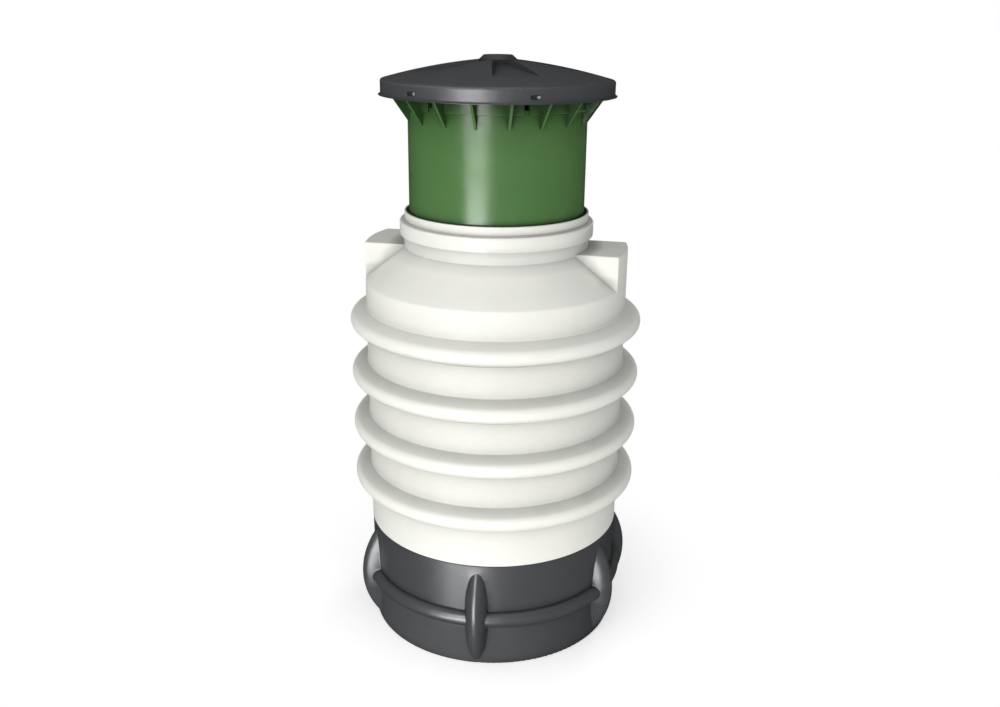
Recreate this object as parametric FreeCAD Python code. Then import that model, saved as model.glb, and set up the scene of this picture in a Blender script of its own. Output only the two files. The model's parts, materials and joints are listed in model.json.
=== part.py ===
import FreeCAD, Part
import math
import os

from FreeCAD import Vector

# Spring water chamber: ribbed base tank, ringed barrel, shoulder with two lugs,
# telescopic access riser and a domed lid. Millimetres, +Z up, front on -Y.
# Angles are counted from the front towards +X. Round walls are made in quarters
# that meet on the diagonals, so that the inside stays clear.

# Gaps between round faces
ring_gap = 0.3
lip_gap = 0.4
slide_gap = 6.0

# Base tank
floor_t = 14.0
floor_inset = 0.3
floor_edge = 4.0
base_r = 477.5
base_taper = 5.2
base_h = 393.0
base_t = 9.0
bead_up = 178.0
bead_r = 30.0
bead_stand = 30.0
side_rib_deg = 64.1
back_rib_deg = 103.8
rib_up = 186.7
rib_stand = 61.2
rib_disc_r = 298.0
rib_half_t = 44.5
rib_deep = 100.0
rib_root_r = 5.0

# Black joint ring between base and barrel
joint_t = 4.0
joint_inset = 3.5

# Barrel
barrel_over = 1.0
barrel_t = 9.0
ring_count = 4
ring_first_up = 188.0
ring_pitch = 202.4
ring_half_h = 46.0
ring_stand = 58.4
ring_nose_r = 30.0
ring_root_r = 8.0
barrel_end_h = 102.2

# Shoulder and lugs
shoulder_wall_h = 42.1
cone_h = 120.5
cone_edge_round = 12.0
edge_bite = 0.4
lug_half_w = 127.0
lug_over = 6.7
lug_round = 5.5
lug_turn_deg = 5.4

# Neck, collar and lip
neck_t = 14.0
neck_h = 42.0
collar_stand = 15.0
collar_h = 54.0
collar_t = 12.0
collar_round = 7.0
groove_h = 6.0
groove_wall = 6.0
lip_h = 27.0
lip_t = 6.0
lip_round = 2.5
seal_room = 11.0
seal_seat_drop = 16.0
seal_drop = 3.0

# Riser
riser_turn_deg = 14.2
tube_r = 315.0
tube_t = 7.0
tube_dip = 141.0
riser_reach = 403.0
head_h = 103.0
band_h = 43.0
band_stand = 10.0
band_round = 3.0
flange_w = 69.0
flange_t = 7.0
gusset_count = 18
gusset_t = 9.0
gusset_h = 91.0
gusset_toe = 0.7
gusset_inset = 4.7
notch_count = 6
notch_w = 19.0
notch_h = 28.0
notch_shallow = 5.0

# Lid
lid_gap = 18.0
lid_drop = 8.5
skirt_t = 6.0
skirt_h = 43.5
flare_w = 7.5
flare_edge = 1.2
flare_h = 10.3
dome_edge_w = 6.0
dome_edge_h = 10.0
dome_rise = 64.5
dome_bow = 7.0
dome_top_r = 70.0
dome_t = 6.0
valley_count = 5
valley_turn_deg = 18.7
valley_deg = 29.0
valley_flank_deg = 40.0
valley_depth = 13.5
valley_reach = 268.0
valley_under = 7.0
rim_out = 31.0
rim_t = 6.0
hub_inset = 3.0
hub_taper = 17.0
hub_h = 15.5
hub_round = 4.0
slot_w = 36.0
slot_h = 14.0
slot_up = 21.5
slot_depth = 6.5
slot_pad = 6.0
screw_r = 5.5
screw_h = 4.0

# Heights that stack up from the floor
base_top_z = floor_t + base_h
joint_top_z = base_top_z + joint_t
ring_zs = [joint_top_z + ring_first_up + ring_pitch * i for i in range(ring_count)]
barrel_top_z = ring_zs[-1] + barrel_end_h
cone_edge_z = barrel_top_z + shoulder_wall_h
cone_top_z = cone_edge_z + cone_h
lug_top_z = cone_top_z + lug_over
collar_z = cone_top_z + neck_h
collar_top_z = collar_z + collar_h
lip_z = collar_top_z + groove_h
lip_top_z = lip_z + lip_h
tube_foot_z = cone_top_z - tube_dip
flange_z = lip_top_z + riser_reach
flange_top_z = flange_z + flange_t
head_z = flange_z - head_h
skirt_foot_z = flange_top_z - lid_drop
skirt_top_z = skirt_foot_z + skirt_h
dome_edge_z = skirt_top_z + dome_edge_h
dome_top_z = dome_edge_z + dome_rise
slot_z = skirt_foot_z + slot_up

# Radii that follow from one another
barrel_r = base_r + barrel_over
neck_in_r = tube_r + slide_gap
neck_r = neck_in_r + neck_t
collar_r = neck_r + collar_stand
seat_r = tube_r + seal_room
lip_r = seat_r + lip_t
tube_in_r = tube_r - tube_t
band_r = tube_r + band_stand
flange_r = tube_r + flange_w
skirt_in_r = flange_r + lid_gap
skirt_r = skirt_in_r + skirt_t
dome_edge_r = skirt_r - dome_edge_w
slot_floor_r = skirt_r - slot_depth

# Angles that follow
quarter_names = ("front", "right", "rear", "left")
quarter_deg = 90.0
diagonal_deg = quarter_deg / 2
rib_degs = {"front": 0.0, "front_right": side_rib_deg, "rear_right": back_rib_deg,
            "rear": 2 * quarter_deg, "rear_left": -back_rib_deg, "front_left": -side_rib_deg}
gusset_step_deg = 360.0 / gusset_count
notch_step_deg = 360.0 / notch_count
notch_degs = [riser_turn_deg + gusset_step_deg / 2 + notch_step_deg * i
              for i in range(notch_count)]
up = Vector(0, 0, 1)
far = 2 * dome_top_z
near_by = 1.0


def at(r, z):
    """A point of a section, radius r along +X."""
    return Vector(r, 0.0, z)


def path(*steps):
    """A closed face in the XZ plane: a pair is a corner, a pair of pairs is an arc by its middle."""
    edges = []
    here = at(*steps[0])
    for step in list(steps[1:]) + [steps[0]]:
        if isinstance(step[0], tuple):
            end = at(*step[1])
            edges.append(Part.Arc(here, at(*step[0]), end).toShape())
        else:
            end = at(*step)
            edges.append(Part.makeLine(here, end))
        here = end
    return Part.Face(Part.Wire(edges))


def spin(face, degrees=360.0):
    return face.revolve(Vector(0, 0, 0), up, degrees)


def set_at(shape, degrees):
    """A copy of a shape drawn along +X, set at an angle counted from the front."""
    copy = shape.copy()
    copy.rotate(Vector(0, 0, 0), up, degrees - quarter_deg)
    return copy


def quarters(face):
    """The four quarters of a revolved section, by name, meeting on the diagonals."""
    piece = spin(face, quarter_deg)
    return {name: set_at(piece, quarter_deg * i - diagonal_deg)
            for i, name in enumerate(quarter_names)}


def wedge(start, end):
    """A tall slice of space between two upright planes."""
    face = path((0.0, -far), (far, -far), (far, far), (0.0, far))
    return set_at(spin(face, end - start), start)


def save(name, shape):
    shape.removeSplitter().exportStep("parts/" + name + ".step")


def corner(r, z, size, from_deg):
    """Middle and end of a quarter round of a section, turning left from a heading."""
    a = math.radians(from_deg)
    b = a + math.pi / 4
    c = a + math.pi / 2
    centre = (r, z)
    return tuple((centre[0] + size * math.sin(t), centre[1] - size * math.cos(t)) for t in (b, c))


def base_radius(z):
    """Outer radius of the tapered base wall."""
    return base_r - base_taper * (base_top_z - z) / base_h


def base_steps(inset):
    """Wall of the base from foot to top, drawn inwards by the inset, with its bead."""
    z = floor_t + bead_up
    r = bead_r - inset
    mid = base_radius(z) + bead_stand - bead_r
    rise = math.sqrt(r ** 2 - (mid - base_radius(z) + inset) ** 2)
    return [(base_radius(floor_t) - inset, floor_t), (base_radius(z - rise) - inset, z - rise),
            ((mid + r, z), (base_radius(z + rise) - inset, z + rise)),
            (base_r - inset, base_top_z)]


def base_solid(inset):
    return spin(path((0.0, floor_t), *base_steps(inset), (0.0, base_top_z)))


def rib_disc(inset):
    """An upright round disc along +X with an oval section; its crest makes the spindle-shaped rib."""
    z = floor_t + rib_up
    centre = at(base_radius(z) + rib_stand - rib_disc_r, z)
    oval = Part.Ellipse(centre + at(rib_disc_r - rib_deep, 0.0), rib_deep - inset, rib_half_t - inset)
    disc = Part.Face(Part.Wire(oval.toShape())).revolve(centre, Vector(0, 1, 0), 360.0)
    return disc.common(Part.makeCylinder(far, base_h, at(0, floor_t)))


def on_base(point):
    """Whether a point lies on the outside of the base wall or its bead."""
    r = math.hypot(point.x, point.y)
    bead_z = floor_t + bead_up
    mid = base_radius(bead_z) + bead_stand - bead_r
    off_wall = abs(r - base_radius(point.z))
    off_bead = abs(math.hypot(r - mid, point.z - bead_z) - bead_r)
    return min(off_wall, off_bead) < near_by


def rib_roots(body, degrees):
    """The edges along which a rib rises out of the wall and the bead."""
    across = Vector(math.cos(math.radians(degrees)), math.sin(math.radians(degrees)), 0)
    roots = []
    for edge in body.Edges:
        points = edge.discretize(5)
        beside = all(abs(q.dot(across)) < rib_half_t + near_by for q in points)
        inland = edge.BoundBox.ZMax > floor_t + near_by and edge.BoundBox.ZMin < base_top_z - near_by
        if beside and inland and all(on_base(q) for q in points):
            roots.append(edge)
    return roots


def base_walls():
    outer = base_solid(0.0)
    inner = base_solid(base_t)
    middle = (side_rib_deg + back_rib_deg) / 2
    seams = {"front": (-diagonal_deg, diagonal_deg),
             "front_right": (diagonal_deg, middle),
             "rear_right": (middle, quarter_deg + diagonal_deg),
             "rear": (quarter_deg + diagonal_deg, 3 * quarter_deg - diagonal_deg),
             "rear_left": (-quarter_deg - diagonal_deg, -middle),
             "front_left": (-middle, -diagonal_deg)}
    for name, (start, end) in seams.items():
        degrees = rib_degs[name]
        body = outer.common(wedge(start, end)).fuse(set_at(rib_disc(0.0), degrees)).removeSplitter()
        body = body.makeFillet(rib_root_r, rib_roots(body, degrees))
        save("base_wall_" + name, body.cut(inner.fuse(set_at(rib_disc(base_t), degrees))))


def base_floor():
    r = base_radius(floor_t) - floor_inset
    save("base_floor", spin(path((0.0, 0.0), (r - floor_edge, 0.0),
                                 corner(r - floor_edge, floor_edge, floor_edge, 0.0),
                                 (r, floor_t), (0.0, floor_t))))


def joint_ring():
    outer = base_r - joint_inset
    inner = base_r - base_t
    face = path((inner, base_top_z), (outer, base_top_z), (outer, joint_top_z), (inner, joint_top_z))
    for name, piece in quarters(face).items():
        save("joint_ring_" + name, piece)


def ring_slope():
    """Slope of a ring's flanks, which run from the wall to touch its round nose."""
    reach = ring_stand - ring_nose_r
    return math.atan2(ring_half_h, reach) - math.asin(ring_nose_r / math.hypot(reach, ring_half_h))


def ring_outside(z):
    """Steps up the outside over one ring: wall, root, flank, nose, flank, root, wall."""
    s = math.sin(ring_slope())
    c = math.cos(ring_slope())
    nose_c = barrel_r + ring_stand - ring_nose_r
    root_c = barrel_r + ring_root_r
    root_dz = ring_half_h + ring_root_r * (1 - s) / c
    flank_r = root_c - ring_root_r * s
    flank_dz = root_dz - ring_root_r * c
    half = math.hypot(1 + s, c)
    bend_r = root_c - ring_root_r * (1 + s) / half
    bend_dz = root_dz - ring_root_r * c / half
    nose_r = nose_c + ring_nose_r * s
    nose_dz = ring_nose_r * c
    return [(barrel_r, z - root_dz),
            ((bend_r, z - bend_dz), (flank_r, z - flank_dz)),
            (nose_r, z - nose_dz),
            ((nose_c + ring_nose_r, z), (nose_r, z + nose_dz)),
            (flank_r, z + flank_dz),
            ((bend_r, z + bend_dz), (barrel_r, z + root_dz))]


def ring_inside(z):
    """Steps down the inside behind one ring, in flats."""
    s = math.sin(ring_slope())
    c = math.cos(ring_slope())
    wall = barrel_r - barrel_t
    nose = ring_nose_r - barrel_t
    nose_c = barrel_r + ring_stand - ring_nose_r
    mouth = ring_half_h - barrel_t * (1 - s) / c
    return [(wall, z + mouth), (nose_c + nose * s, z + nose * c), (nose_c + nose, z),
            (nose_c + nose * s, z - nose * c), (wall, z - mouth)]


def barrel():
    wall = barrel_r - barrel_t
    steps = [(wall, joint_top_z), (barrel_r, joint_top_z)]
    for z in ring_zs:
        steps += ring_outside(z)
    steps += [(barrel_r, barrel_top_z), (wall, barrel_top_z)]
    for z in reversed(ring_zs):
        steps += ring_inside(z)
    for name, piece in quarters(path(*steps)).items():
        save("barrel_" + name, piece)


def above_cone(inset):
    """The space over the shoulder cone, drawn inwards by the inset, out past the barrel."""
    lean = math.atan2(cone_h, barrel_r - neck_r)
    drop = inset / math.cos(lean)
    out_r = barrel_r - inset
    edge_z = cone_edge_z + inset * math.tan(lean) - drop
    top_r = neck_r - drop / math.tan(lean)
    bend = cone_edge_round - inset
    tangent = bend * math.tan((math.pi / 2 - lean) / 2)
    low_z = edge_z - tangent
    start = (out_r - tangent * math.cos(lean), edge_z + tangent * math.sin(lean))
    aim = (math.pi / 2 - lean) / 2
    middle = (out_r - bend + bend * math.cos(aim), low_z + bend * math.sin(aim))
    return spin(path((0.0, cone_top_z), (top_r, cone_top_z), start,
                     (middle, (out_r + edge_bite, low_z)), (far, low_z), (far, far), (0.0, far)))


def shoulder_mass(inset):
    """Solid shoulder with its two flat-sided lugs, drawn inwards by the inset; only the outside is rounded."""
    top = lug_top_z - inset
    half = lug_half_w - inset
    body = Part.makeCylinder(barrel_r - inset, top - barrel_top_z, at(0, barrel_top_z))
    above = above_cone(inset)
    for y in (half, -half - far):
        body = body.cut(above.common(Part.makeBox(2 * far, far, far, Vector(-far, y, 0))))
    if inset == 0.0:
        body = body.makeFillet(lug_round, [e for e in body.Edges if e.BoundBox.ZMin > top - near_by])
    return body


def shoulder():
    outer = shoulder_mass(0.0).cut(Part.makeCylinder(neck_r + ring_gap, far, at(0, cone_top_z)))
    inner = shoulder_mass(barrel_t).cut(Part.makeCylinder(neck_r + barrel_t, far, at(0, cone_top_z - 2 * barrel_t)))
    shell = outer.cut(inner).cut(Part.makeCylinder(neck_in_r, far))
    shell.rotate(Vector(0, 0, 0), up, -lug_turn_deg)
    for i, name in enumerate(quarter_names):
        start = quarter_deg * i - diagonal_deg
        save("shoulder_" + name, shell.common(wedge(start, start + quarter_deg)))


def neck_collar():
    r = collar_round
    q = lip_round
    groove_r = neck_in_r + groove_wall
    pocket_r = collar_r - collar_t
    pocket_z0 = collar_z + r
    pocket_z1 = collar_top_z - r
    seat_z = lip_top_z - seal_seat_drop
    save("neck_collar", spin(path(
        (neck_in_r, cone_top_z), (neck_r, cone_top_z), (neck_r, collar_z), (collar_r - r, collar_z),
        corner(collar_r - r, collar_z + r, r, 0.0), (collar_r, collar_top_z - r),
        corner(collar_r - r, collar_top_z - r, r, 90.0), (groove_r, collar_top_z),
        (groove_r, lip_z), (lip_r, lip_z), (lip_r, lip_top_z - q),
        corner(lip_r - q, lip_top_z - q, q, 90.0), (seat_r, lip_top_z), (seat_r, seat_z),
        (neck_in_r, seat_z), (neck_in_r, pocket_z1), (pocket_r, pocket_z1),
        (pocket_r, pocket_z0), (neck_in_r, pocket_z0))))


def neck_seal():
    inner = tube_r + lip_gap
    outer = seat_r - ring_gap
    foot = lip_top_z - seal_seat_drop
    top = lip_top_z - seal_drop
    save("neck_seal", spin(path((inner, foot), (outer, foot), (outer, top), (inner, top))))


def riser_tube():
    save("riser_tube", spin(path((tube_in_r, tube_foot_z), (tube_r, tube_foot_z),
                                 (tube_r, head_z), (tube_in_r, head_z))))


def riser_head():
    band_z = flange_z - band_h
    head = spin(path((tube_in_r, head_z), (tube_r, head_z), (tube_r, band_z),
                     (band_r - band_round, band_z),
                     corner(band_r - band_round, band_z + band_round, band_round, 0.0),
                     (band_r, flange_z), (flange_r, flange_z), (flange_r, flange_top_z),
                     (tube_in_r, flange_top_z)))
    root_r = tube_r - tube_t / 2
    foot_z = flange_z - gusset_h
    plate = path((root_r, foot_z), (tube_r + gusset_toe, foot_z),
                 (flange_r - gusset_inset, flange_z), (root_r, flange_z))
    plate.translate(Vector(0, -gusset_t / 2, 0))
    gusset = plate.extrude(Vector(0, gusset_t, 0))
    head = head.multiFuse([set_at(gusset, riser_turn_deg + gusset_step_deg * i)
                           for i in range(gusset_count)])
    depth = band_r - tube_in_r
    window = Part.makeBox(2 * depth, notch_w, notch_h,
                          Vector(tube_in_r - depth / 2, -notch_w / 2, flange_z - notch_h))
    recess = Part.makeBox(depth, notch_w, band_h - notch_h,
                          Vector(band_r - notch_shallow, -notch_w / 2, band_z))
    for degrees in notch_degs:
        head = head.cut(set_at(window, degrees)).cut(set_at(recess, degrees))
    save("riser_head", head)


def oblong(r0, r1, width, height, z):
    """A round-ended bar along +X between two radii."""
    cap = height / 2
    half = width / 2 - cap
    bar = Part.makeBox(r1 - r0, 2 * half, height, Vector(r0, -half, z - cap))
    ends = [Part.makeCylinder(cap, r1 - r0, Vector(r0, y, z), Vector(1, 0, 0))
            for y in (-half, half)]
    return bar.multiFuse(ends)


def lid_skirt():
    edge_z = skirt_foot_z + flare_edge
    blend_z = edge_z + flare_h
    mid_r = skirt_r + flare_w * (1 - math.sqrt(0.5))
    mid_z = blend_z - flare_h * math.sqrt(0.5)
    skirt = spin(path(
        (skirt_r + flare_w - skirt_t, skirt_foot_z), (skirt_r + flare_w, skirt_foot_z),
        (skirt_r + flare_w, edge_z), ((mid_r, mid_z), (skirt_r, blend_z)),
        (skirt_r, skirt_top_z), (skirt_in_r, skirt_top_z), (skirt_in_r, blend_z),
        (skirt_r + flare_w - skirt_t, edge_z)))
    pad = oblong(slot_floor_r - slot_pad, skirt_in_r + skirt_t / 2, slot_w + 2 * slot_pad,
                 slot_h + slot_pad, slot_z)
    slot = oblong(slot_floor_r, skirt_r + skirt_t, slot_w, slot_h, slot_z)
    skirt = skirt.multiFuse([set_at(pad, degrees) for degrees in notch_degs])
    for degrees in notch_degs:
        skirt = skirt.cut(set_at(slot, degrees))
    save("lid_skirt", skirt)


def lid_screws():
    end = (slot_w - slot_h) / 2
    head = Part.makeCylinder(screw_r, screw_h, Vector(slot_floor_r, end, slot_z), Vector(1, 0, 0))
    heads = [set_at(head, degrees) for degrees in notch_degs]
    Part.makeCompound(heads).exportStep("parts/lid_screws.step")


def valley(drop):
    """A tapered trough along +X with sloping flanks and a closed inner end, lowered by the drop."""
    spread = math.tan(math.radians(valley_deg) / 2)
    lean = math.tan(math.radians(valley_flank_deg))
    end_r = dome_top_r + valley_reach
    slope = dome_rise / (dome_edge_r - dome_top_r)
    end_z = dome_top_z - slope * valley_reach + dome_bow
    fall = (dome_top_z - valley_depth - end_z) / valley_reach
    tall = dome_rise
    wires = []
    for r in (dome_top_r - hub_inset - valley_under - drop, end_r):
        half = r * spread + drop
        z = end_z + fall * (end_r - r) - drop
        points = [Vector(r, -half, z), Vector(r, half, z),
                  Vector(r, half + tall / lean, z + tall), Vector(r, -half - tall / lean, z + tall)]
        wires.append(Part.makePolygon(points + points[:1]))
    return Part.makeLoft(wires, True, True)


def dome_solid(drop):
    """Full solid under the dome, lowered by the drop, with its sunk valleys."""
    rim = skirt_r - drop
    edge = (dome_edge_r - drop, dome_edge_z - drop)
    edge_mid = (edge[0] + dome_edge_w * math.sqrt(0.5),
                skirt_top_z + (edge[1] - skirt_top_z) * math.sqrt(0.5))
    mid = ((edge[0] + dome_top_r) / 2, dome_edge_z + dome_rise / 2 + dome_bow - drop)
    solid = spin(path((0.0, skirt_top_z), (rim, skirt_top_z), (edge_mid, edge),
                      (mid, (dome_top_r, dome_top_z - drop)), (0.0, dome_top_z - drop)))
    trough = valley(drop)
    for i in range(valley_count):
        solid = solid.cut(set_at(trough, valley_turn_deg + 360.0 / valley_count * i))
    return solid


def lid_dome():
    rim_r = tube_r + rim_out
    rim = Part.makeCylinder(rim_r, dome_top_z - flange_top_z, at(0, flange_top_z))
    rim = rim.cut(Part.makeCylinder(rim_r - rim_t, dome_top_z, at(0, flange_top_z)))
    outer = dome_solid(0.0)
    under = Part.makeCylinder(skirt_in_r, skirt_top_z - flange_top_z, at(0, flange_top_z))
    save("lid_dome", outer.cut(dome_solid(dome_t)).fuse(rim.common(outer.fuse(under))))


def lid_hub():
    foot_r = dome_top_r - hub_inset
    boss = spin(path((0.0, dome_top_z), (foot_r, dome_top_z),
                     (foot_r - hub_taper, dome_top_z + hub_h), (0.0, dome_top_z + hub_h)))
    top = [e for e in boss.Edges if e.BoundBox.ZMin > dome_top_z + hub_h / 2]
    save("lid_hub", boss.makeFillet(hub_round, top))


os.makedirs("parts", exist_ok=True)
base_floor()
base_walls()
joint_ring()
barrel()
shoulder()
neck_collar()
neck_seal()
riser_tube()
riser_head()
lid_skirt()
lid_screws()
lid_dome()
lid_hub()
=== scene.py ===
import json
import math

import bmesh
import bpy
import numpy as np
from mathutils import Matrix, Vector


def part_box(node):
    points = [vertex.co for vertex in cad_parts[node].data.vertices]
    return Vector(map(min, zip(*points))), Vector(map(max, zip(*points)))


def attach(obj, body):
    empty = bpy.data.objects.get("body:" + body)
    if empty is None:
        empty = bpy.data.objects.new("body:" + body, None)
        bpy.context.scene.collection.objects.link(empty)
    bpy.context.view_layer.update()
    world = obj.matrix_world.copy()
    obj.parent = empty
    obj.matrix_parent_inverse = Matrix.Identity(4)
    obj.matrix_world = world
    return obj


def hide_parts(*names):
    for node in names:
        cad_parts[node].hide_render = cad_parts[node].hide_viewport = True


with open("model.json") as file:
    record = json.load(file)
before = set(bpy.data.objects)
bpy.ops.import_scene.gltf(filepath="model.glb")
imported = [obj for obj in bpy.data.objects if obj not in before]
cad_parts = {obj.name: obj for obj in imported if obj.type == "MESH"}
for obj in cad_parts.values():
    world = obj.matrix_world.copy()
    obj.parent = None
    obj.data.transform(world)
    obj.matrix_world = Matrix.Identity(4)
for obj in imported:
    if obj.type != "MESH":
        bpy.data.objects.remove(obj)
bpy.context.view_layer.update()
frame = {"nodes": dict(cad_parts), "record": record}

# The camera, fitted to the photograph: it stands to the right of the front rib and looks down.
VIEW_TURN = math.radians(7.2)
CAM_BACK = 3.5897
CAM_UP = 2.2772
CAM_PITCH = math.radians(18.917)
CAM_YAW = math.radians(0.284)
CAM_ROLL = math.radians(0.644)
CAM_LENS = 36.0
CAM_SENSOR = 36.0

# Soft light all round, brightest from the front left; SOFT_EDGE is the cosine where it is lowest.
SOFT_AZIMUTH = -24.0
SOFT_LIFT = 0.1
SOFT_EDGE = -0.35
SOFT_LOW = 0.28
SOFT_HIGH = 1.115

# Soft boxes: angle round from the camera's side, distance from the axis, height of the middle,
# width, height, watts, and the rays that don't see the box
LAMPS = {
    "key_box": (-22.0, 5.0, 1.6, 2.6, 4.0, 52.5, "glossy"),
    "low_box": (0.0, 3.0, 0.4, 2.4, 0.8, 18.5, "glossy"),
    "sheen_high": (-25.0, 5.0, 2.95, 2.6, 2.9, 181.0, "diffuse"),
    "sheen_middle": (-25.0, 5.0, 0.1, 2.0, 1.4, 118.0, "diffuse"),
    "sheen_low": (-25.0, 5.0, -1.4, 3.6, 1.6, 210.0, "diffuse"),
    "back_box": (150.0, 4.0, 1.8, 2.4, 3.0, 50.0, "glossy"),
}

# The dark card round the set
CARD_RADIUS = 6.2
CARD_LOW = -6.0
CARD_HIGH = 16.0
CARD_START = math.radians(-8.0)
CARD_END = math.radians(318.0)
CARD_STEPS = 96
CARD_TONE = 0.03

# The floor: it fades to plain white between two distances from the axis.
FLOOR_HALF = 30.0
FLOOR_TONE = 0.86
FLOOR_GLOW = 0.45
FADE_NEAR = 0.8
FADE_FAR = 1.9

# Meshes
WELD = 2e-5
SEAM_FLAT = 5e-5
SEAM_UPRIGHT = 0.01
SHARP = math.radians(28.0)

# Painted shade in the tank's hollows: how near another surface must be for it to darken the colour,
# between the rings, at the lugs,
# # and how much farther at the neck's root
RING_REACH = 0.17
LUG_REACH = 0.035
ROOT_REACH = 0.09
HOLLOW_SAMPLES = 12

# The base is rougher below its bead, and painted shade darkens its colour there: heights between
# which this fades out
FOOT_FULL = 0.14
FOOT_NONE = 0.18
FOOT_SHADE = 0.62
FOOT_ROUGHER = 0.45

view_turn = Matrix.Rotation(VIEW_TURN, 4, "Z")


def add_object(name, data):
    thing = bpy.data.objects.new(name, data)
    bpy.context.scene.collection.objects.link(thing)
    return thing


def numbers(nodes):
    """Vertices and triangles of some CAD nodes, as one pair of arrays."""
    points = []
    faces = []
    start = 0
    for name in nodes:
        mesh = frame["nodes"][name].data
        co = np.zeros(len(mesh.vertices) * 3, np.float32)
        mesh.vertices.foreach_get("co", co)
        mesh.calc_loop_triangles()
        tri = np.zeros(len(mesh.loop_triangles) * 3, np.int32)
        mesh.loop_triangles.foreach_get("vertices", tri)
        points.append(co.reshape(-1, 3))
        faces.append(tri.reshape(-1, 3) + start)
        start += len(mesh.vertices)
    return np.concatenate(points).astype(float), np.concatenate(faces)


def skin(name, nodes, levels=()):
    """One moulding out of CAD nodes that meet on upright planes through the axis, or at
    the given levels: the faces where they meet are left out and the rest is welded."""
    points, faces = numbers(nodes)
    corners = points[faces]
    normal = np.cross(corners[:, 1] - corners[:, 0], corners[:, 2] - corners[:, 0])
    size = np.linalg.norm(normal, axis=1)
    normal = normal / np.maximum(size, 1e-18)[:, None]
    off = np.abs(np.einsum("fk,fvk->fv", normal, corners)).max(axis=1)
    inside = (off < SEAM_FLAT) & (np.abs(normal[:, 2]) < SEAM_UPRIGHT)
    for level in levels:
        inside |= np.abs(corners[:, :, 2] - level).max(axis=1) < SEAM_FLAT
    faces = faces[~inside & (size > 0)]
    mesh = bpy.data.meshes.new(name)
    mesh.from_pydata(points.tolist(), [], faces.tolist())
    bm = bmesh.new()
    bm.from_mesh(mesh)
    bmesh.ops.remove_doubles(bm, verts=bm.verts, dist=WELD)
    bmesh.ops.dissolve_degenerate(bm, edges=bm.edges, dist=WELD)
    bmesh.ops.delete(bm, geom=[v for v in bm.verts if not v.link_faces], context="VERTS")
    bm.to_mesh(mesh)
    bm.free()
    mesh.shade_smooth()
    mesh.set_sharp_from_angle(angle=SHARP)
    piece = add_object(name, mesh)
    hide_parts(*nodes)
    return piece


def smoother():
    """Welds a CAD node's triangles and shades them smooth up to an angle."""
    tree = bpy.data.node_groups.new("weld_and_smooth", "GeometryNodeTree")
    tree.interface.new_socket("Geometry", in_out="INPUT", socket_type="NodeSocketGeometry")
    tree.interface.new_socket("Geometry", in_out="OUTPUT", socket_type="NodeSocketGeometry")
    new = tree.nodes.new
    link = tree.links.new
    start = new("NodeGroupInput")
    end = new("NodeGroupOutput")
    weld = new("GeometryNodeMergeByDistance")
    weld.inputs["Distance"].default_value = WELD
    angle = new("GeometryNodeInputMeshEdgeAngle")
    flat = new("FunctionNodeCompare")
    flat.operation = "LESS_THAN"
    flat.inputs["B"].default_value = SHARP
    faces = new("GeometryNodeSetShadeSmooth")
    edges = new("GeometryNodeSetShadeSmooth")
    edges.domain = "EDGE"
    link(start.outputs[0], weld.inputs["Geometry"])
    link(weld.outputs[0], faces.inputs["Geometry"])
    link(faces.outputs[0], edges.inputs["Geometry"])
    link(angle.outputs["Unsigned Angle"], flat.inputs["A"])
    link(flat.outputs[0], edges.inputs["Shade Smooth"])
    link(edges.outputs[0], end.inputs[0])
    return tree


class Graph:
    """A material's nodes, added and linked in one call each."""

    def __init__(self, name):
        self.material = bpy.data.materials.new(name)
        self.material.use_nodes = True
        self.tree = self.material.node_tree
        self.shader = self.tree.nodes["Principled BSDF"]
        self.coords = self.add("ShaderNodeTexCoord").outputs["Object"]

    def add(self, kind, inputs=None, **settings):
        node = self.tree.nodes.new(kind)
        for key, value in settings.items():
            setattr(node, key, value)
        for key, value in (inputs or {}).items():
            if isinstance(value, bpy.types.NodeSocket):
                self.tree.links.new(value, node.inputs[key])
            else:
                node.inputs[key].default_value = value
        return node

    def place(self):
        """X, Y and Z on the object, in metres."""
        return self.add("ShaderNodeSeparateXYZ", {"Vector": self.coords}).outputs

    def noise(self, size, detail, rough):
        """Noise with spots of about the given size in metres."""
        return self.add("ShaderNodeTexNoise", {"Vector": self.coords, "Scale": 1.0 / size,
                                               "Detail": detail, "Roughness": rough}).outputs["Fac"]

    def remap(self, value, low, high, to_low, to_high):
        return self.add("ShaderNodeMapRange", {"Value": value, "From Min": low, "From Max": high,
                                               "To Min": to_low, "To Max": to_high}).outputs[0]

    def math(self, operation, a, b):
        return self.add("ShaderNodeMath", {0: a, 1: b}, operation=operation).outputs[0]

    def mix(self, factor, a, b):
        node = self.add("ShaderNodeMix", {"Factor": factor, "A": a, "B": b}, data_type="RGBA")
        return node.outputs["Result"]

    def bump(self, height, depth, strength, under=None):
        inputs = {"Height": height, "Distance": depth, "Strength": strength}
        if under:
            inputs["Normal"] = under
        return self.add("ShaderNodeBump", inputs).outputs[0]

    def source(self, socket):
        """What is linked to one of the shader's sockets now."""
        return self.shader.inputs[socket].links[0].from_socket

    def to(self, socket, value):
        if isinstance(value, bpy.types.NodeSocket):
            self.tree.links.new(value, self.shader.inputs[socket])
        else:
            self.shader.inputs[socket].default_value = value


def rgb(r, g, b):
    return (r, g, b, 1.0)


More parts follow.
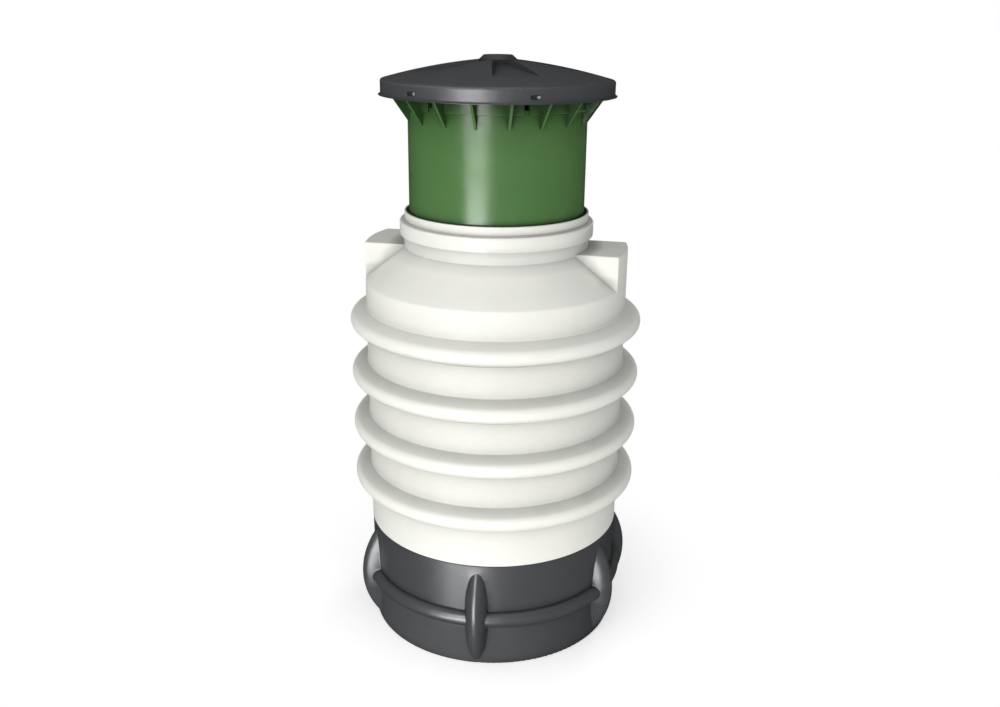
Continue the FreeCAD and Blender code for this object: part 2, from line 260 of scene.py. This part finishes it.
def moulded(name, light, dark, rough, grain, depth, specular=None):
    """Moulded plastic: cloudy colour, a fine grain and patchy gloss."""
    g = Graph(name)
    cloud = g.remap(g.noise(0.16, 4.0, 0.6), 0.3, 0.7, 0.0, 1.0)
    fleck = g.remap(g.noise(grain * 1.6, 2.0, 0.6), 0.35, 0.65, 0.0, 1.0)
    tone = g.math("ADD", g.math("MULTIPLY", cloud, 0.6), g.math("MULTIPLY", fleck, 0.4))
    g.to("Base Color", g.mix(tone, rgb(*dark), rgb(*light)))
    gloss = g.noise(0.05, 4.0, 0.6)
    g.to("Roughness", g.remap(gloss, 0.3, 0.7, rough - 0.04, rough + 0.05))
    waves = g.bump(g.noise(0.045, 2.0, 0.5), 0.0012, 0.35)
    g.to("Normal", g.bump(g.noise(grain, 3.0, 0.6), depth, 0.5, waves))
    if specular is not None:
        g.to("Specular IOR Level", specular)
    return g


def paint_hollow_shade(g, shade_colour, reach, full=0.55, turn=1.25):
    """Painted shade in the hollows: the colour darkens toward the given shade colour where other
    surfaces within reach close the view. It is full where only that share of the view stays open,
    and comes in more steeply with turn."""
    view = g.add("ShaderNodeAmbientOcclusion", {"Distance": reach}, samples=HOLLOW_SAMPLES)
    deep = g.math("POWER", g.remap(view.outputs["AO"], full, 1.0, 1.0, 0.0), turn)
    patchy = g.remap(g.noise(0.09, 5.0, 0.65), 0.3, 0.7, 0.85, 1.0)
    amount = g.math("MULTIPLY", deep, patchy)
    # painted shade: the colour is mixed toward the shade colour by how closed in the surface is
    g.to("Base Color", g.mix(amount, g.source("Base Color"), rgb(*shade_colour)))


def tank_shade_reach(g):
    """The reach of the tank's painted shade: far between the rings, near at the lugs, farther at
    the neck's root.
    """
    place = g.place()
    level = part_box("shoulder_front")[0].z
    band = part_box("neck_collar")[1].x
    x_squared = g.math("MULTIPLY", place["X"], place["X"])
    y_squared = g.math("MULTIPLY", place["Y"], place["Y"])
    out = g.math("ADD", x_squared, y_squared)
    rings = g.remap(place["Z"], level + 0.03, level + 0.1, RING_REACH, LUG_REACH)
    root = g.remap(out, (band - 0.03) ** 2, (band + 0.07) ** 2, ROOT_REACH, 0.0)
    return g.math("ADD", rings, root)


def rougher_shaded_foot(g):
    """Darker and rougher below the base's bead; the darker colour is painted shade."""
    foot = g.remap(g.place()["Z"], FOOT_FULL, FOOT_NONE, 1.0, 0.0)
    foot_shade = g.math("MULTIPLY", foot, FOOT_SHADE)
    # painted shade: the colour darkens toward near black below the bead
    g.to("Base Color", g.mix(foot_shade, g.source("Base Color"), rgb(0.028, 0.030, 0.032)))
    rougher = g.math("MULTIPLY", foot, FOOT_ROUGHER)
    g.to("Roughness", g.math("ADD", g.source("Roughness"), rougher))


def materials():
    """The finishes: one for each slot, and two more for the neck and the top of the lid."""
    white_look = {"light": (0.88, 0.88, 0.825), "dark": (0.84, 0.84, 0.785),
                  "rough": 0.5, "grain": 0.004, "depth": 0.0004}
    white = moulded("white_plastic", **white_look, specular=0.2)
    # Painted shade: the white's colour darkens in the tank's hollows.
    paint_hollow_shade(white, (0.37, 0.37, 0.35), tank_shade_reach(white))
    # A copy of the white for the neck, with more gloss and its own painted shade in the groove and
    # under the band.
    neck = moulded("white_neck", **white_look, specular=0.3)
    paint_hollow_shade(neck, (0.62, 0.62, 0.59), 0.18, full=0.83, turn=2.4)
    dark = moulded("dark_plastic", light=(0.068, 0.071, 0.076), dark=(0.059, 0.062, 0.067),
                   rough=0.33, grain=0.003, depth=0.0003, specular=0.7)
    # Painted shade: the dark plastic's colour darkens close to other surfaces and the floor.
    paint_hollow_shade(dark, (0.016, 0.017, 0.018), 0.035)
    rougher_shaded_foot(dark)
    lid = moulded("dark_lid", light=(0.078, 0.082, 0.088), dark=(0.069, 0.073, 0.079),
                  rough=0.55, grain=0.003, depth=0.0003, specular=0.4)
    # Painted shade: the lid's colour darkens in its creases and round the hub.
    paint_hollow_shade(lid, (0.022, 0.023, 0.025), 0.16, full=0.92)
    green = moulded("green_plastic", light=(0.088, 0.196, 0.061), dark=(0.076, 0.173, 0.052),
                    rough=0.22, grain=0.003, depth=0.0002)
    # Painted shade: the green's colour darkens under the band and the lid's overhang.
    paint_hollow_shade(green, (0.020, 0.052, 0.014), 0.2, full=0.5)
    seal = moulded("seal_rubber", light=(0.014, 0.014, 0.014), dark=(0.009, 0.009, 0.009),
                   rough=0.6, grain=0.002, depth=0.0002)
    steel = Graph("screw_steel")
    brushed = steel.noise(0.0012, 3.0, 0.6)
    steel.to("Base Color", steel.mix(brushed, rgb(0.56, 0.57, 0.59), rgb(0.68, 0.69, 0.71)))
    steel.to("Metallic", 0.6)
    steel.to("Roughness", steel.remap(brushed, 0.3, 0.7, 0.28, 0.42))
    return {"white_plastic": white.material, "white_neck": neck.material,
            "dark_plastic": dark.material, "dark_lid": lid.material,
            "green_plastic": green.material, "seal_rubber": seal.material,
            "screw_steel": steel.material}


def paint(piece, material):
    piece.data.materials.clear()
    piece.data.materials.append(material)


def camera():
    c, s = math.cos(CAM_YAW), math.sin(CAM_YAW)
    cp, sp = math.cos(CAM_PITCH), math.sin(CAM_PITCH)
    cr, sr = math.cos(CAM_ROLL), math.sin(CAM_ROLL)
    level = Vector((c, -s, 0.0))
    ahead = Vector((cp * s, cp * c, -sp))
    over = Vector((sp * s, sp * c, cp))
    right = cr * level + sr * over
    top = cr * over - sr * level
    data = bpy.data.cameras.new("photo_camera")
    data.lens = CAM_LENS
    data.sensor_width = CAM_SENSOR
    data.sensor_fit = "HORIZONTAL"
    eye = add_object("photo_camera", data)
    place = Matrix((right, top, -ahead)).transposed().to_4x4()
    place.translation = Vector((0.0, -CAM_BACK, CAM_UP))
    eye.matrix_world = view_turn @ place
    bpy.context.scene.camera = eye


def lamp(name, azimuth, back, middle, width, height, watts, hidden):
    """An upright soft box that faces the axis, placed by its angle round from the camera's side."""
    data = bpy.data.lights.new(name, "AREA")
    data.shape = "RECTANGLE"
    data.size = width
    data.size_y = height
    data.energy = watts
    box = add_object(name, data)
    turn = math.radians(azimuth)
    place = view_turn @ Vector((back * math.sin(turn), -back * math.cos(turn), middle))
    aim = (Vector((0.0, 0.0, middle)) - place).to_track_quat("-Z", "Y")
    box.matrix_world = Matrix.LocRotScale(place, aim, None)
    setattr(box, "visible_" + hidden, False)


def light():
    for name, values in LAMPS.items():
        lamp(name, *values)
    world = bpy.data.worlds.new("studio")
    bpy.context.scene.world = world
    world.use_nodes = True
    tree = world.node_tree
    tree.nodes.clear()
    out = tree.nodes.new("ShaderNodeOutputWorld")
    around = tree.nodes.new("ShaderNodeBackground")
    around.inputs["Strength"].default_value = 1.0
    seen = tree.nodes.new("ShaderNodeBackground")
    seen.inputs["Color"].default_value = rgb(1.0, 1.0, 1.0)
    seen.inputs["Strength"].default_value = 1.0
    coords = tree.nodes.new("ShaderNodeTexCoord")
    toward = tree.nodes.new("ShaderNodeVectorMath")
    toward.operation = "DOT_PRODUCT"
    turn = math.radians(SOFT_AZIMUTH)
    brightest = Vector((math.sin(turn), -math.cos(turn), SOFT_LIFT)).normalized()
    toward.inputs[1].default_value = view_turn @ brightest
    fall = tree.nodes.new("ShaderNodeMapRange")
    fall.interpolation_type = "SMOOTHSTEP"
    fall.inputs["From Min"].default_value = SOFT_EDGE
    fall.inputs["From Max"].default_value = 1.0
    fall.inputs["To Min"].default_value = SOFT_LOW
    fall.inputs["To Max"].default_value = SOFT_HIGH
    tree.links.new(coords.outputs["Generated"], toward.inputs[0])
    tree.links.new(toward.outputs["Value"], fall.inputs["Value"])
    tree.links.new(fall.outputs[0], around.inputs["Color"])
    tree.links.new(seen_rays(tree), mix_shader(tree, around, seen, out).inputs[0])


def dark_card():
    """A dark card curved round and under the set, open towards the soft boxes at the front left,
    as in a product studio: only reflections show it, so the object's edges stay dark."""
    points = []
    for i in range(CARD_STEPS + 1):
        a = CARD_START + (CARD_END - CARD_START) * i / CARD_STEPS
        x, y = CARD_RADIUS * math.sin(a), -CARD_RADIUS * math.cos(a)
        points += [view_turn @ Vector((x, y, z)) for z in (CARD_LOW, CARD_HIGH)]
    faces = [(2 * i, 2 * i + 2, 2 * i + 3, 2 * i + 1) for i in range(CARD_STEPS)]
    faces.append(tuple(2 * i for i in range(CARD_STEPS + 1)))
    mesh = bpy.data.meshes.new("dark_card")
    mesh.from_pydata(points, [], faces)
    card = add_object("dark_card", mesh)
    material = bpy.data.materials.new("dark_card")
    material.use_nodes = True
    shader = material.node_tree.nodes["Principled BSDF"]
    shader.inputs["Base Color"].default_value = rgb(CARD_TONE, CARD_TONE, CARD_TONE)
    shader.inputs["Roughness"].default_value = 1.0
    mesh.materials.append(material)
    for rays in ("camera", "diffuse", "transmission", "volume_scatter", "shadow"):
        setattr(card, "visible_" + rays, False)


def seen_rays(tree):
    """1 for rays that show the background: camera, glossy and transmission rays."""
    path = tree.nodes.new("ShaderNodeLightPath")
    value = path.outputs["Is Camera Ray"]
    for name in ("Is Glossy Ray", "Is Transmission Ray"):
        node = tree.nodes.new("ShaderNodeMath")
        node.operation = "MAXIMUM"
        tree.links.new(value, node.inputs[0])
        tree.links.new(path.outputs[name], node.inputs[1])
        value = node.outputs[0]
    return value


def mix_shader(tree, first, second, out):
    node = tree.nodes.new("ShaderNodeMixShader")
    tree.links.new(first.outputs[0], node.inputs[1])
    tree.links.new(second.outputs[0], node.inputs[2])
    tree.links.new(node.outputs[0], out.inputs["Surface"])
    return node


def floor():
    """A plain pale floor that keeps the shadow and fades to white away from the object."""
    corners = [(x * FLOOR_HALF, y * FLOOR_HALF, 0) for x, y in ((-1, -1), (1, -1), (1, 1), (-1, 1))]
    mesh = bpy.data.meshes.new("floor")
    mesh.from_pydata(corners, [], [(0, 1, 2, 3)])
    ground = add_object("floor", mesh)
    material = bpy.data.materials.new("pale_floor")
    material.use_nodes = True
    tree = material.node_tree
    tree.nodes.clear()
    out = tree.nodes.new("ShaderNodeOutputMaterial")
    matt = tree.nodes.new("ShaderNodeBsdfDiffuse")
    matt.inputs["Color"].default_value = rgb(FLOOR_TONE, FLOOR_TONE, FLOOR_TONE)
    glow = tree.nodes.new("ShaderNodeEmission")
    glow.inputs["Strength"].default_value = FLOOR_GLOW
    both = tree.nodes.new("ShaderNodeAddShader")
    tree.links.new(matt.outputs[0], both.inputs[0])
    tree.links.new(glow.outputs[0], both.inputs[1])
    white = tree.nodes.new("ShaderNodeEmission")
    coords = tree.nodes.new("ShaderNodeTexCoord")
    away = tree.nodes.new("ShaderNodeVectorMath")
    away.operation = "LENGTH"
    fade = tree.nodes.new("ShaderNodeMapRange")
    fade.interpolation_type = "SMOOTHSTEP"
    fade.inputs["From Min"].default_value = FADE_NEAR
    fade.inputs["From Max"].default_value = FADE_FAR
    far = tree.nodes.new("ShaderNodeMixShader")
    tree.links.new(coords.outputs["Object"], away.inputs[0])
    tree.links.new(away.outputs["Value"], fade.inputs["Value"])
    tree.links.new(fade.outputs[0], far.inputs[0])
    tree.links.new(both.outputs[0], far.inputs[1])
    tree.links.new(white.outputs[0], far.inputs[2])
    tree.links.new(seen_rays(tree), mix_shader(tree, matt, far, out).inputs[0])
    mesh.materials.append(material)
    ground.visible_glossy = False


def dress():
    """Joins the split mouldings into skins, smooths the other nodes and paints them all."""
    finish = materials()
    slots = {row["node"]: row["material_slot"] for row in frame["record"]["subparts"]}
    tree = smoother()
    barrel = sorted(n for n in slots if n.startswith("barrel_"))
    shoulder = sorted(n for n in slots if n.startswith("shoulder_"))
    mouldings = {
        "base_shell": (sorted(n for n in slots if n.startswith("base_wall_")), ()),
        "joint_band": (sorted(n for n in slots if n.startswith("joint_ring_")), ()),
        "tank_shell": (barrel + shoulder, (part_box(shoulder[0])[0].z,)),
    }
    own = {"neck_collar": "white_neck", "lid_dome": "dark_lid", "lid_hub": "dark_lid"}
    done = set()
    for name, (nodes, levels) in mouldings.items():
        piece = skin(name, nodes, levels)
        paint(piece, finish[slots[nodes[0]]])
        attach(piece, "chamber")
        done.update(nodes)
    for name, slot in slots.items():
        if name not in done:
            node = frame["nodes"][name]
            node.modifiers.new("weld_and_smooth", "NODES").node_group = tree
            paint(node, finish[own.get(name, slot)])


dress()
floor()
dark_card()
camera()
light()
bpy.context.scene.view_settings.view_transform = "Standard"
